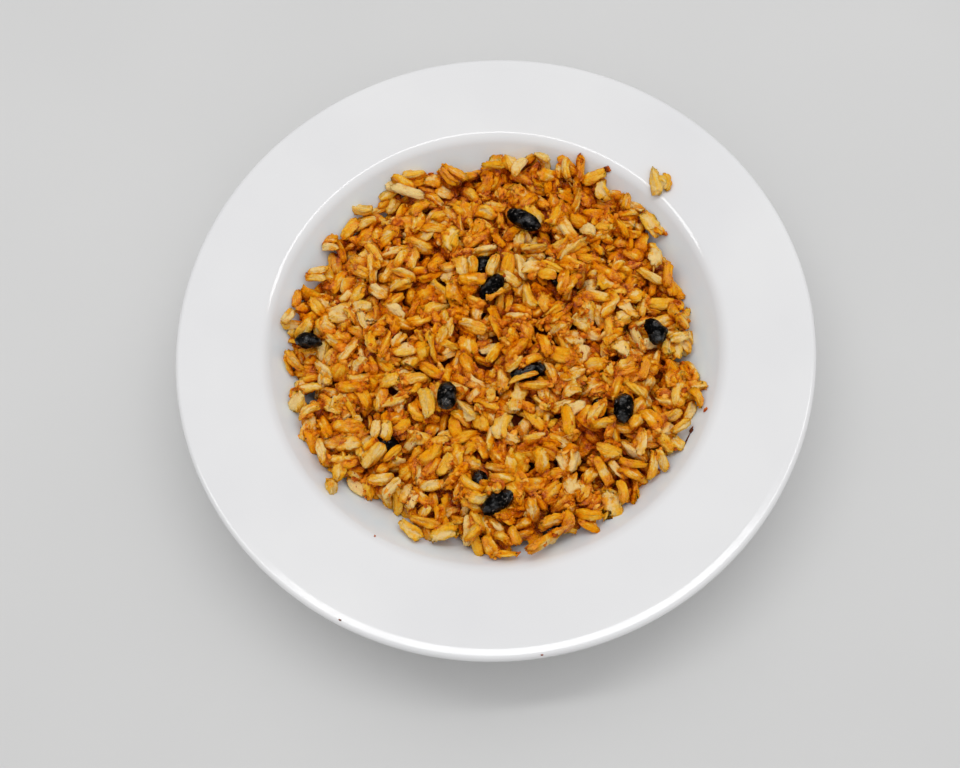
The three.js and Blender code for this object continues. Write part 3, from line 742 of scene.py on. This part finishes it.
def grain_traits(kind, count, random):
    """How each grain of a kind swelled, split or broke in the pot: one value of each trait per grain."""
    spread = random.uniform
    whole, split, opened = (kind == name for name in ("whole", "split", "opened"))
    return {
        "blunt": spread(2.4, 4.2, count),
        "boxy": spread(2.0, 2.7, count),
        "ribs": spread(0.1, 0.2, count),
        "rib_turn": spread(0, 2 * pi, count),
        "waist": spread(0, 0.18, count) * (random.random(count) < 0.45),
        "waist_at": spread(-0.35, 0.35, count),
        "taper": random.normal(0, 0.1, count),
        "groove": spread(0.4, 0.9, count) if split or opened else spread(0, 0.5, count),
        "flare": spread(0.3, 0.9, count) if split else spread(0, 0.15, count),
        "twist": random.normal(0, 0.35, count),
        "rough": spread(0.09, 0.2, count) + (0 if whole else 0.08),
        "ragged": spread(0.2, 0.8, count) if whole else spread(0.4, 1.1, count),
        "cut": spread(0.1, 0.6, count) if kind == "broken" else np.full(count, 2.0),
        "knobs": spread(0.16, 0.34, count) if opened else spread(0.0, 0.12, count),
        "bend": random.normal(0.08, 0.14, count),
        "sideways": random.normal(0, 0.11, count),
        "seed": spread(0, 900, count),
    }


def grain_points(form, traits):
    """Every grain's own shape along X, from -1 to 1, with how pale it is at each point, from the starch of a
    split and from a painted highlight on its top and ridges, and how much painted shade it gets on its
    underside and in its creases.
    """
    t = {name: values[:, None] for name, values in traits.items()}
    x, y, z = (np.repeat(form.points[None, :, i], len(t["seed"]), 0) for i in range(3))
    ring = np.maximum(np.hypot(y, z), 1e-6)
    # The outline: blunt ends, a boxy section, three ribs with five finer ones on them, a waist and a taper.
    full = np.clip(1 - np.abs(x) ** t["blunt"], 0, None) ** 0.45
    side = (np.abs(y / ring) ** t["boxy"] + np.abs(z / ring) ** t["boxy"]) ** (-1 / t["boxy"])
    turn = np.arctan2(z, y) + t["rib_turn"]
    wave = np.cos(3 * turn + 0.8 * x) + 0.8 * np.cos(5 * turn - x)
    ribs = 1 + t["ribs"] * wave
    waist = 1 - t["waist"] * np.exp(-(((x - t["waist_at"]) / 0.36) ** 2))
    swell = full * side * ribs / ring * waist * (1 + t["taper"] * x)
    across, up = y * swell, z * swell
    # The groove along the top, wider towards one end, where a split grain flares and shows its starch.
    opening = 0.45 + 0.55 * np.clip(x, -0.6, 1)
    pale = np.where(up > 0, np.exp(-((across / 0.34) ** 2)) * full, 0)
    pale = pale * np.clip(t["groove"] * 2.2 - 0.2, 0, 1)
    up = up - np.where(up > 0, t["groove"] * opening * np.exp(-((across / 0.3) ** 2)) * full, 0)
    across = across * (1 + t["flare"] * np.clip(up, 0, 1) * opening)
    angle = t["twist"] * x
    across, up = across * np.cos(angle) - up * np.sin(angle), across * np.sin(angle) + up * np.cos(angle)
    # The surface: knobs where the grain burst, roughness, and ends that are more torn than the middle.
    local = np.stack([x, across, up], -1)
    at = local * (2.4, 1, 1) + t["seed"][..., None] * SEED_WAY
    billow = 0.6 - np.abs(soft_noise(at * 1.5)) * 1.7 + 0.4 * soft_noise(at * 0.8 + 3.1)
    burst = 1 + t["knobs"] * (billow - 0.5 * np.abs(soft_noise(at * 3.1 + 9.7)))
    local = local * burst[..., None]
    rough = t["rough"][..., None]
    shake = shaken(at * 1.1) * rough + shaken(at * 2.6 + 5.1) * rough * 0.7
    torn = t["ragged"] * np.clip(np.abs(x) - 0.35, 0, 1)
    shake = shake + shaken(at * 2.9 + 23.7) * torn[..., None]
    local = local + shake * (0.4, 1, 1)
    # The broken end, and the bend along the grain.
    past = local[..., 0] - t["cut"]
    local[..., 0] = np.where(past > 0, t["cut"] + past * 0.15, local[..., 0])
    arch = 0.33 - local[..., 0] ** 2
    local[..., 2] += t["bend"] * arch * 2.5
    local[..., 1] += t["sideways"] * arch * 2.5
    # Painted shade on the underside and in the creases between ribs; and, added to the starch's paleness, a
    # painted highlight on the top and ridges
    hollow = np.clip(0.35 - z / ring * 0.9, 0, 1) + 0.4 * np.clip(-wave - 0.4, 0, 1)
    return local, pale + 0.5 * np.clip(z - 0.55, 0, 1) + 0.2 * np.clip(wave - 0.4, 0, 1), hollow


def contact(points, mine, ends, radius):
    """How near each point of the grains' surfaces lies to another grain: 1 where they touch."""
    middle = ends.mean(1)
    near_a, near_b = close_pairs(middle, GRAIN_CELL)
    both_a, both_b = np.concatenate([near_a, near_b]), np.concatenate([near_b, near_a])
    row = np.full(len(middle), -1)
    row[mine] = np.arange(len(mine))
    wanted = row[both_a] >= 0
    both_a, both_b = both_a[wanted], both_b[wanted]
    nearest = np.full(points.shape[:2], 9.0)
    axis = ends[:, 1] - ends[:, 0]
    some = 2000  # pairs at a time, to save memory
    for start in range(0, len(both_a), some):
        a, b = both_a[start : start + some], both_b[start : start + some]
        off = points[row[a]] - ends[b, 0][:, None]
        along = np.clip(np.einsum("nvi,ni->nv", off, axis[b]) / (axis[b] ** 2).sum(1)[:, None], 0, 1)
        gap = np.linalg.norm(off - along[..., None] * axis[b][:, None], axis=2) - radius[b][:, None]
        np.minimum.at(nearest, row[a], gap)
    return np.clip(1 - nearest / TOUCH_REACH, 0, 1)


def joined(form, places, turns, sizes, tints, shapes):
    """Vertices, corners, face starts, map and tints of many copies of a form, each with its own shape."""
    count, verts = len(places), len(form.points)
    world = places[:, None] + np.einsum("nij,nvj->nvi", turns, shapes * sizes[:, None])
    corners = form.corners[None] + np.arange(count)[:, None] * verts
    starts = form.starts[None] + np.arange(count)[:, None] * len(form.corners)
    return (
        world.reshape(-1, 3),
        corners.reshape(-1),
        starts.reshape(-1),
        np.tile(form.map, (count, 1)),
        np.repeat(tints, verts, axis=0),
    )


def heaped_piece(name, batches, surface, replaces=(), depth=None):
    """One piece from several batches of joined copies."""
    points, corners, starts, uvs, tints = zip(*batches)
    first_point = np.cumsum([0, *map(len, points)])
    first_corner = np.cumsum([0, *map(len, corners)])
    corners = np.concatenate([part + first for part, first in zip(corners, first_point)])
    starts = np.concatenate([part + first for part, first in zip(starts, first_corner)])
    points, uvs, tints = np.concatenate(points), np.concatenate(uvs), np.concatenate(tints)
    # The fourth channel: how deep a point lies, which the rice's material turns into painted shade
    if depth is not None:
        tints[:, 3] = depth(points)
    mesh = bpy.data.meshes.new(name)
    mesh.vertices.add(len(points))
    mesh.vertices.foreach_set("co", (points * MM).ravel())
    mesh.loops.add(len(corners))
    mesh.loops.foreach_set("vertex_index", corners.astype(np.int32))
    mesh.polygons.add(len(starts))
    mesh.polygons.foreach_set("loop_start", starts.astype(np.int32))
    mesh.update(calc_edges=True)
    mesh.uv_layers.new(name="grain_map").uv.foreach_set("vector", uvs.ravel())
    mesh.attributes.new("grain_tint_and_shade", "FLOAT_COLOR", "POINT").data.foreach_set("color", tints.ravel())
    mesh.shade_smooth()
    mesh.validate()
    return place_piece(mesh, name, surface, "rice", replaces)


# ---- Food materials ----

# The core's colours: the sauce's brown, darkened as painted shade for the gaps where the core shows
SHADED_CORE_COLOURS = ("#3C1000", "#602000", "#803404")
PASTE_COLOURS = ("#FFDC9C", "#FFC45C", "#F8A42A", "#E67E0C", "#B84E04", "#5A260C")  # pulp to browned spice


def cooked_rice():
    """Brown rice, boiled and tossed in spiced oil: translucent starch under a golden bran, stained
    orange at its ends and in patches of sauce, with painted shade, darker and more orange, where it lies
    deep, where grains touch, under each grain and in its creases, paler painted highlights on its top and
    ridges, and a soft wet gloss."""
    made = material("cooked_brown_rice")
    place = add(made, "TexCoord", output=3)
    uv = add(made, "UVMap", uv_map="grain_map")
    tint = add(made, "Attribute", attribute_name="grain_tint_and_shade", attribute_type="GEOMETRY")
    split = add(made, "SeparateColor", {"Color": tint})
    tone, sauce, touch = (split.node.outputs[i] for i in range(3))
    depth = tint.node.outputs["Alpha"]
    # Smears of sauce as long as a grain is wide, blotches in them, and the bran's grit, drawn coarse to show.
    smear = add(made, "TexNoise", {"Vector": place, "Scale": waves(4.348), "Detail": 3, "Roughness": 0.6})
    blotch = add(made, "TexNoise", {"Vector": place, "Scale": waves(1.613), "Detail": 4, "Roughness": 0.65})
    grit = add(made, "TexNoise", {"Vector": place, "Scale": waves(0.909), "Detail": 3, "Roughness": 0.65})
    # Streaks of the torn bran: eleven round a grain, about 7 mm long.
    stretch = add(made, "Mapping", {"Vector": uv, "Scale": (11, 1.4, 1)})
    shift = add(made, "VectorMath", (stretch, tint), operation="ADD")
    streaks = add(made, "TexNoise", {"Vector": shift, "Scale": 1, "Detail": 3})
    along = add(made, "SeparateXYZ", {"Vector": uv}, output=1)
    off_middle = add(made, "Math", (along, 0.5), operation="SUBTRACT")
    to_end = add(made, "Math", (off_middle,), operation="ABSOLUTE")
    # The share of sauce: smears, blotches, streaks, the grain's ends and its own sauce are real; what the
    # depth and touch channels add is painted shade
    sauce_and_shade = weighted(
        made, blotch, (smear, 1.9), (streaks, 0.5), (to_end, 0.7), (sauce, 1.1), (depth, 0.4), (touch, 0.55),
    )
    sauce_and_shade_cover = add(made, "MapRange", (sauce_and_shade, 2.25, 3.3), interpolation_type="SMOOTHSTEP")
    golden = weighted(made, tone, (grit, 0.8), (streaks, 1.1), (smear, 0.9), (sauce_and_shade_cover, 0.8))
    golden = add(made, "Math", (golden, 1.5), operation="SUBTRACT")
    base = add(
        made, "ValToRGB", {"Fac": golden},
        stops=[(0.0, "#FFD890"), (0.25, "#FFC650"), (0.5, "#FFB624"), (0.9, "#FF9E06")],
    )
    # The sauce's colour, darker where a point lies deep or touches another grain: painted shade
    spice = weighted(made, blotch, (depth, -0.2), (touch, -0.1))
    shaded_sauce_colour = add(
        made, "ValToRGB", {"Fac": spice},
        stops=[(0.16, "#963400"), (0.3, "#CC5E02"), (0.42, "#F08804"), (0.56, "#FFA81A")],
    )
    colour = add(made, "Mix", {0: sauce_and_shade_cover, 6: base, 7: shaded_sauce_colour}, output=2, data_type="RGBA")
    relief = weighted(made, grit, (streaks, 1.2))
    bump = add(made, "Bump", {"Height": relief, "Strength": 1.0, "Distance": 0.0009})
    gloss = add(made, "MapRange", (grit, 0.3, 0.7, 0.12, 0.36))
    oil = add(made, "MapRange", (smear, 0.48, 0.64, 0.02, 0.9))
    shader = add(
        made, "BsdfPrincipled",
        {
            "Base Color": colour, "Roughness": gloss, "IOR": 1.38, "Specular IOR Level": oil, "Normal": bump,
            "Subsurface Weight": 0.3, "Subsurface Radius": (1.0, 0.65, 0.3), "Subsurface Scale": MM,
        },
    )
    add(made, "OutputMaterial", {"Surface": shader})
    return made


def spiced_paste(name, colours, gloss, toned=False):
    """Tomato, onion and spice cooked down in oil: a dense orange-brown crumb with a wet skin. Toned, its
    colour also follows each lump's own tone."""
    made = material(name)
    place = add(made, "TexCoord", output=3)
    # The crumb's grit is drawn coarse, to show, in patches a grain's width across.
    grit = add(made, "TexNoise", {"Vector": place, "Scale": waves(1.667), "Detail": 4})
    patch = add(made, "TexNoise", {"Vector": place, "Scale": waves(5.556), "Detail": 2})
    if toned:
        tint = add(made, "Attribute", attribute_name="grain_tint_and_shade", attribute_type="GEOMETRY")
        tone = add(made, "SeparateColor", {"Color": tint})
        tone = add(made, "Math", (tone, 0.8), operation="SUBTRACT")
        shade = weighted(made, tone, (grit, 0.8), (patch, 0.8))
    else:
        shade = weighted(made, 0, (grit, 0.5), (patch, 0.5))
    edge = 0.05 if toned else 0.35
    places = np.linspace(edge, 1 - edge, len(colours))
    colour = add(made, "ValToRGB", {"Fac": shade}, stops=list(zip(places, colours)))
    bump = add(made, "Bump", {"Height": grit, "Strength": 0.6, "Distance": 0.0005})
    shader = add(
        made, "BsdfPrincipled",
        {
            "Base Color": colour, "Roughness": gloss, "IOR": 1.38, "Specular IOR Level": 0.2, "Normal": bump,
            "Subsurface Weight": 0.2, "Subsurface Radius": (0.8, 0.5, 0.3), "Subsurface Scale": MM,
        },
    )
    add(made, "OutputMaterial", {"Surface": shader})
    return made


def black_bean_skin():
    """A cooked black bean's skin: thin, wrinkled and nearly black, damp, with pale specks that are painted
    glints.
    """
    made = material("black_bean_skin")
    place = add(made, "TexCoord", output=3)
    # The pale specks are painted glints, drawn coarse to show; the damp patches are half a bean wide.
    fine = add(made, "TexNoise", {"Vector": place, "Scale": waves(1.111), "Detail": 4})
    broad = add(made, "TexNoise", {"Vector": place, "Scale": waves(3.846), "Detail": 3})
    # Painted glints: the grey and pale specks on the near-black skin
    colour = add(
        made, "ValToRGB", {"Fac": fine},
        stops=[(0.3, "#010101"), (0.55, "#040303"), (0.63, "#25211E"), (0.73, "#7A736C")],
    )
    height = add(made, "Math", (fine, broad), operation="ADD")
    bump = add(made, "Bump", {"Height": height, "Strength": 1.0, "Distance": 0.00045})
    gloss = add(made, "MapRange", (fine, 0.35, 0.65, 0.1, 0.26))
    damp = add(made, "MapRange", (broad, 0.48, 0.62, 0.04, 1.0))
    shader = add(
        made, "BsdfPrincipled",
        {"Base Color": colour, "Roughness": gloss, "IOR": 1.36, "Specular IOR Level": damp, "Normal": bump},
    )
    add(made, "OutputMaterial", {"Surface": shader})
    return made


# ---- The food ----


def heap_core(surface):
    """The mass of rice and sauce under the loose grains; its sauce brown is darkened to near black as painted
    shade, so the gaps between the grains look deep.
    """
    bm = bmesh.new()
    bmesh.ops.create_uvsphere(bm, u_segments=120, v_segments=72, radius=1)
    for vert in bm.verts:
        x, y, z = vert.co
        flat, angle = hypot(x, y), atan2(y, x)
        radius = float(blended(HEAP_RADII, np.array(angle))) * CORE_SHARE * flat
        x, y = radius * cos(angle), radius * sin(angle)
        floor = float(plate_height(radius)) + CORE_CLEARANCE
        if z > 0 and flat < 0.999:
            grit = noise.noise(Vector((x, y, 0)) * 0.35) * 1.6 + noise.noise(Vector((x, y, 5)) * 0.9) * 0.7
            vert.co = (x, y, max(float(core_height(np.array(x), np.array(y))) + grit, floor))
        else:
            vert.co = (x, y, floor - 0.1 * max(0, -z))
    bmesh.ops.recalc_face_normals(bm, faces=bm.faces)
    finish_piece(bm, "rice_core", surface, "rice", replaces=["rice_heap"])


def bean_piece(node, surface, number):
    """A whole cooked bean: a plump kidney with a seam hollow and a wrinkled skin."""
    centre, turn, half = SEATS[node]
    bm = bmesh.new()
    bmesh.ops.create_icosphere(bm, subdivisions=5, radius=1)
    seed = Vector((number * 3.7, number * 8.1, number * 1.9))
    crumple, taper = CRUMPLED_BEANS.get(node, (0.05, 0.0))
    for vert in bm.verts:
        x, y, z = vert.co
        at = Vector((x * half[0], y * half[1], z * half[2]))
        ridge = 1 - abs(noise.noise(at * 0.55 + seed)) * 2
        wrinkle = noise.noise(Vector((at.x * 0.5, at.y * 1.5, at.z * 1.5)) + seed)
        out = 1 + (ridge - 0.6) * 0.03 + wrinkle * 0.05 + noise.noise(at * 0.32 + seed) * crumple
        y *= 1 - taper * x
        full = 1 + 0.03 * (1 - x * x) * x * x * 4
        y = y * full - 0.08 * exp(-((x / 0.35) ** 2)) * (y > 0) * y
        vert.co = centre + turn @ (np.array([x * half[0], y * half[1], z * half[2] * full]) * out)
    bmesh.ops.recalc_face_normals(bm, faces=bm.faces)
    finish_piece(bm, f"black_{node}", surface, "bean", replaces=[node])


def grain_frames(axis, up):
    """Rotation matrices whose X runs along the grain and whose Z is as near to up as it goes."""
    across = np.cross(up, axis)
    across /= np.linalg.norm(across, axis=1, keepdims=True) + 1e-9
    top = np.cross(axis, across)
    return np.stack([axis, across, top], 2)


def top_map(ends, radius):
    """Height of the grains' tops on a grid, smoothed, to tell how deep a point lies."""
    size = int(2 * MAP_REACH / MAP_CELL)

    def spot(points, shift=0):
        return np.clip(((points + MAP_REACH) / MAP_CELL).astype(int) + shift, 0, size - 1)

    tops = np.full((size, size), -1e3)
    for share in np.linspace(0, 1, 5):
        at = ends[:, 0] * (1 - share) + ends[:, 1] * share
        for dx, dy in product((-1, 0, 1), repeat=2):
            np.maximum.at(tops, (spot(at[:, 1], dy), spot(at[:, 0], dx)), at[:, 2] + radius)
    for _ in range(2):
        padded = np.pad(tops, 1, mode="edge")
        tops = sum(padded[i : i + size, j : j + size] for i, j in product((0, 1, 2), repeat=2)) / 9

    def depth(points):
        return np.clip((tops[spot(points[:, 1]), spot(points[:, 0])] - points[:, 2]) / FULL_SHADE_DEPTH, 0, 1)

    return depth


def loose_rice(surface, paste):
    """Settles the grains over the core and makes a piece of each kind, with the pulp and crumbs between."""
    random = np.random.default_rng(GRAIN_SEED)
    laid, scattered = laid_grains(), scattered_grains(random)
    spots, axis, length, width = (np.concatenate(pair) for pair in zip(laid, scattered))
    fixed, count = len(laid[0]), len(spots)
    thickness = width * random.uniform(*FLATNESS, count)
    radius = (width + thickness) / 4
    half = length / 2 - radius * 0.8
    ends = spots[:, None] + np.stack([-axis, axis], 1) * half[:, None, None]
    ends = settle(ends, half, radius * STICKING, view_blocks(), fixed, random)
    middle = ends.mean(1)
    axis = (ends[:, 1] - ends[:, 0]) / (2 * half[:, None])
    up = surface_normal(grains_top, middle[:, 0], middle[:, 1]) + random.normal(0, 0.6, middle.shape)
    turns = grain_frames(axis, up)
    depth = top_map(ends, radius)
    tone = np.clip(random.normal(0.48, 0.19, count), 0, 1)
    patch = soft_noise(middle * 0.1)  # the sauce lies in patches, about 10 mm across
    sauce = np.clip(0.44 + patch * 0.42 + random.normal(0, 0.18, count), 0, 1)
    sauce[:fixed] = 0.2 + 0.8 * sauce[:fixed]
    tints = np.stack([tone, sauce, np.zeros(count), np.zeros(count)], 1)
    sizes = np.stack([length / 2, width / 2, thickness / 2], 1)
    kind = random.choice(["whole", "split", "opened"], count, p=KIND_SHARES)
    kind[length < BROKEN_LENGTH] = "broken"
    beans = np.array([SEATS[node][0] for node in BEAN_NODES])
    near_bean = np.linalg.norm(middle[:, None, :2] - beans[None, :, :2], axis=2).min(1) < BEAN_SURROUND
    kind[(kind == "opened") & (near_bean | (np.arange(count) < fixed))] = "split"
    sizes[kind == "opened"] *= (1.0, 1.4, 0.85)
    buried = depth(middle) > 0.95
    pieces, sunken = [], []
    for name in ("whole", "split", "broken", "opened"):
        for form, hidden, batches in ((ball_form(20, 14), False, []), (ball_form(8, 9), True, sunken)):
            mine = np.nonzero((kind == name) & (buried == hidden))[0]
            shapes, pale, hollow = grain_points(form, grain_traits(name, len(mine), random))
            batch = joined(form, middle[mine], turns[mine], sizes[mine], tints[mine], shapes)
            touch = contact(batch[0].reshape(len(mine), -1, 3), mine, ends, radius)
            # The first channel is made paler by the starch and the painted highlight; the third holds painted
            # shade where grains touch, under each grain and in its creases
            batch[4][:, 0] = np.clip(batch[4][:, 0] - 0.45 * pale.ravel(), 0, 1)
            batch[4][:, 2] = np.clip(touch + 0.55 * hollow, 0, 1).ravel()
            batches.append(batch)
            if not hidden:
                pieces.append(heaped_piece(f"{name}_grains", batches, surface, depth=depth))
    heaped_piece("sunken_grains", sunken, surface, depth=depth)
    between_grains(pieces, paste, depth, random)


def between_grains(pieces, paste, depth, random):
    """Pulp of burst grains and crumbs of paste, stuck where the grains touch."""
    places = np.concatenate([rows_of(piece.data.vertices, "co", 3)[::2] for piece in pieces]) / MM
    normals = np.concatenate([rows_of(piece.data.vertices, "normal", 3)[::2] for piece in pieces])
    tints = [rows_of(piece.data.attributes["grain_tint_and_shade"].data, "color", 4)[::2] for piece in pieces]
    touch = np.concatenate(tints)[:, 2]
    open_sky = (normals[:, 2] > -0.2) & (depth(places) < 0.75)
    cloud = np.clip(soft_noise(places * 0.14) * 3.4 + 0.1, 0.06, 2.4)
    likely = np.where(open_sky, 0.06 + touch**2 * 1.4, 0) * cloud
    for name, count, subdivisions, low, high, flat, tones in BETWEEN:
        form = lump_form(subdivisions)
        chosen = random.choice(len(likely), count, replace=False, p=likely / likely.sum())
        size = random.uniform(low, high, count) * random.uniform(0.75, 1.25, count)
        sizes = size[:, None] * random.uniform((0.9, 0.6, 0.5), (1.5, 1.0, 0.9), (count, 3)) * (1, 1, flat)
        turns = grain_frames(unit(random.normal(size=(count, 3))), normals[chosen] + 0.01)
        tints = np.zeros((count, 4))
        tints[:, 0] = random.uniform(*tones, count)
        at = form.points[None] * 1.3 + random.uniform(0, 900, (count, 1, 1)) * SEED_WAY
        pitted = 0.5 * np.abs(soft_noise(at * 2.1)) + 0.3 * np.abs(soft_noise(at * 4.3))
        shapes = form.points[None] * (1 + 0.5 * soft_noise(at) - pitted)[..., None]
        heaped_piece(name, [joined(form, places[chosen], turns, sizes, tints, shapes)], paste)


def on_slope(heading, normal):
    """Axes that lie on a slope, from headings in degrees."""
    turn = np.radians(heading)
    axis = np.stack([np.cos(turn), np.sin(turn), np.zeros(len(turn))], 1)
    return unit(axis - normal * (axis * normal).sum(1, keepdims=True))


def rim_grains(surface):
    """The grains stuck together that lie on the rim."""
    random = np.random.default_rng(RIM_SEED)
    x, y, heading, length, width = np.array(RIM_GRAINS).T
    radius = np.hypot(x, y)
    inward = -sin(RIM_SLOPE)
    normal = np.stack([x / radius * inward, y / radius * inward, np.full(len(x), cos(RIM_SLOPE))], 1)
    places = np.stack([x, y, plate_height(radius)], 1) + normal * (width * 0.42)[:, None]
    form = ball_form(18, 22)
    shapes, _, _ = grain_points(form, grain_traits("whole", len(x), random))
    sizes = np.stack([length / 2, width / 2, width * 0.42], 1)
    turns = grain_frames(on_slope(heading, normal), normal)
    batch = joined(form, places, turns, sizes, np.array(RIM_TINTS), shapes)
    heaped_piece("stray_rim_grains", [batch], surface, replaces=["rim_grains"])


def stray_bits(paste):
    """Crumbs and specks on the plate, and a bit of stalk."""
    x, y, heading, length, width, height, tone = np.array(STRAY_BITS).T
    normal = surface_normal(lambda px, py: plate_height(np.hypot(px, py)), x, y)
    places = np.stack([x, y, plate_height(np.hypot(x, y))], 1) + normal * (height * 0.4)[:, None]
    form = lump_form(3)
    at = form.points[None] * 1.6 + np.arange(len(x))[:, None, None] * 7.3
    shapes = form.points[None] * (1 + 0.6 * soft_noise(at) - 0.3 * np.abs(soft_noise(at * 2.3)))[..., None]
    sizes = np.stack([length, width, height], 1) / 2
    tints = np.stack([tone, tone * 0, tone * 0, tone * 0], 1)
    turns = grain_frames(on_slope(heading, normal), normal)
    heaped_piece("stray_bits", [joined(form, places, turns, sizes, tints, shapes)], paste)


# ---- Stage ----

FLOOR_REACH = 3000.0
LAMP_PLACE = (5.0, 230.0, 1200.0)
LAMP_SIZE = (1400.0, 120.0)
LAMP_POWER = 3.2
WALL_LIGHT, CEILING_LIGHT = 0.487, 1.238


def pale_floor():
    """Painted board: a matt, nearly even pale grey."""
    made = material("pale_matt_floor")
    place = add(made, "TexCoord", output=3)
    tone = add(made, "TexNoise", {"Vector": place, "Scale": waves(166.7), "Detail": 2})
    colour = add(made, "ValToRGB", {"Fac": tone}, stops=[(0.3, "#D4D4D3"), (0.7, "#D8D8D7")])
    shader = add(made, "BsdfPrincipled", {"Base Color": colour, "Roughness": 0.8})
    add(made, "OutputMaterial", {"Surface": shader})
    bm = bmesh.new()
    bmesh.ops.create_grid(bm, x_segments=2, y_segments=2, size=FLOOR_REACH)
    finish_piece(bm, "floor", made)


def strip_lamp():
    """A long lamp over the far side: its reflection runs along the well's edge and the near lip."""
    data = bpy.data.lights.new("strip_lamp", "AREA")
    data.shape = "RECTANGLE"
    data.size, data.size_y = (side * MM for side in LAMP_SIZE)
    data.energy = LAMP_POWER
    lamp = bpy.data.objects.new("strip_lamp", data)
    place = Vector(LAMP_PLACE) * MM
    lamp.matrix_world = Matrix.Translation(place) @ (-place).to_track_quat("-Z", "Y").to_matrix().to_4x4()
    bpy.context.scene.collection.objects.link(lamp)


def pale_room():
    """A pale room under a bright ceiling, lighter at the far right."""
    world = bpy.data.worlds.new("pale_room")
    bpy.context.scene.world = world
    world.use_nodes = True
    world.node_tree.nodes.clear()
    way = add(world, "TexCoord")
    height = add(world, "SeparateXYZ", {"Vector": way}, output=2)
    room = (height, 0.5, 0.95, WALL_LIGHT, CEILING_LIGHT)
    level = add(world, "MapRange", room, interpolation_type="SMOOTHSTEP")
    side = add(world, "VectorMath", (way, (0.13, 0.15, 0)), output=1, operation="DOT_PRODUCT")
    strength = weighted(world, level, (side, level))
    shader = add(world, "Background", {"Color": linear("#F7F7F8"), "Strength": strength})
    add(world, "OutputWorld", {"Surface": shader})
    bpy.context.scene.view_settings.view_transform = "Standard"


# ---- Build ----

add_camera()
strip_lamp()
pale_room()
pale_floor()
finish_piece(turned_plate(), "soup_plate", glazed_porcelain(), "porcelain", replaces=["plate"])
rice = cooked_rice()
paste = spiced_paste("pulp_and_paste", PASTE_COLOURS, 0.4, toned=True)
heap_core(spiced_paste("shaded_rice_mass", SHADED_CORE_COLOURS, 0.8))
loose_rice(rice, paste)
rim_grains(rice)
stray_bits(paste)
bean_skin = black_bean_skin()
for number, node in enumerate(BEAN_NODES, 1):
    bean_piece(node, bean_skin, number)
